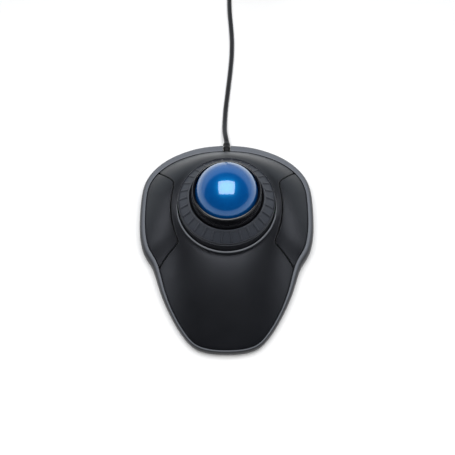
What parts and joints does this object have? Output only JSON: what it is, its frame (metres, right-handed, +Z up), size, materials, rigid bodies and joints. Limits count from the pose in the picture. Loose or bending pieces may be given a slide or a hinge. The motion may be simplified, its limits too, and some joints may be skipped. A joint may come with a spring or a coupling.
{
  "type": "trackball mouse",
  "caption": "Trackball mouse: a ball in a raised socket with a ribbed scroll ring round it, wing-shaped side buttons, a palm rest on a flared base, and a USB cable with its plug.",
  "frame": {"origin": "middle of the body's footprint, on the surface that its feet stand on; the free cable and its plug aren't counted", "axes": "+X to the user's right, +Y to the rear, where the cable leaves, +Z up"},
  "size_m": [0.1639, 0.3489, 0.058],
  "materials": {
    "soft_black": "satin soft-touch black",
    "skirt_grey": "satin dark grey",
    "gloss_black": "polished black",
    "ring_rubber": "fine matt grey rubber",
    "foot_rubber": "matt black",
    "ball_blue": "polished pearl blue",
    "cable_black": "satin black PVC",
    "board_green": "solder mask",
    "bearing": "polished",
    "lens_clear": "clear",
    "chip_black": "matt",
    "connector_cream": "satin",
    "steel": "bright"
  },
  "bodies": {
    "base": {"top_shell": "soft_black", "base_tray": "skirt_grey", "ball_socket": "skirt_grey", "ball_bezel": "gloss_black", "bearing_ball_1": "bearing", "bearing_ball_2": "bearing", "bearing_ball_3": "bearing", "sensor_lens": "lens_clear", "ball_sensor": "chip_black", "circuit_board": "board_green", "ring_interrupter": "chip_black", "controller_chip": "chip_black", "cable_connector": "connector_cream", "left_switch": "chip_black", "right_switch": "chip_black", "left_button_pin": "steel", "right_button_pin": "steel", "strain_relief": "cable_black", "cable_inner_lead": "cable_black", "usb_cable": "cable_black", "usb_cable_coil": "cable_black", "usb_cable_tail": "cable_black", "usb_plug_grip": "cable_black", "usb_plug_shell": "steel", "usb_plug_tongue": "connector_cream", "foot_front_left": "foot_rubber", "foot_front_right": "foot_rubber", "foot_rear_left": "foot_rubber", "foot_rear_right": "foot_rubber", "shell_screw_1": "steel", "socket_screw_1": "steel", "shell_screw_2": "steel", "socket_screw_2": "steel", "shell_screw_3": "steel", "socket_screw_3": "steel", "shell_screw_4": "steel", "socket_screw_4": "steel", "board_screw_1": "steel", "board_screw_2": "steel"},
    "ball": {"trackball": "ball_blue"},
    "ring": {"scroll_ring": "ring_rubber", "scroll_ring_encoder": "chip_black"},
    "left_button_cap": {"left_button": "soft_black"},
    "right_button_cap": {"right_button": "soft_black"},
    "left_plunger": {"left_switch_plunger": "connector_cream"},
    "right_plunger": {"right_switch_plunger": "connector_cream"}
  },
  "joints": [
    {"name": "ball_roll", "type": "hinge", "parent": "base", "child": "ball", "pos_m": [0, 0.0195, 0.038], "axis": [1, 0, 0], "continuous": true},
    {"name": "scroll_ring_spin", "type": "hinge", "parent": "base", "child": "ring", "pos_m": [0, 0.0195, 0.031], "axis": [0, 0, 1], "continuous": true},
    {"name": "left_button_press", "type": "hinge", "parent": "base", "child": "left_button_cap", "pos_m": [-0.039, 0.0195, 0.0158], "axis": [0, -1, 0], "range_deg": [0, 4], "stiffness_Nm_per_rad": 0.1, "springref_deg": -2.29},
    {"name": "right_button_press", "type": "hinge", "parent": "base", "child": "right_button_cap", "pos_m": [0.039, 0.0195, 0.0158], "axis": [0, 1, 0], "range_deg": [0, 4], "stiffness_Nm_per_rad": 0.1, "springref_deg": -2.29},
    {"name": "left_switch_travel", "type": "slide", "parent": "base", "child": "left_plunger", "axis": [0, 0, -1], "range_m": [0, 0.0005]},
    {"name": "right_switch_travel", "type": "slide", "parent": "base", "child": "right_plunger", "axis": [0, 0, -1], "range_m": [0, 0.0005]}
  ],
  "couplings": [
    {"joint": "left_switch_travel", "follows": "left_button_press", "m_per_rad": 0.0056},
    {"joint": "right_switch_travel", "follows": "right_button_press", "m_per_rad": 0.0056}
  ]
}
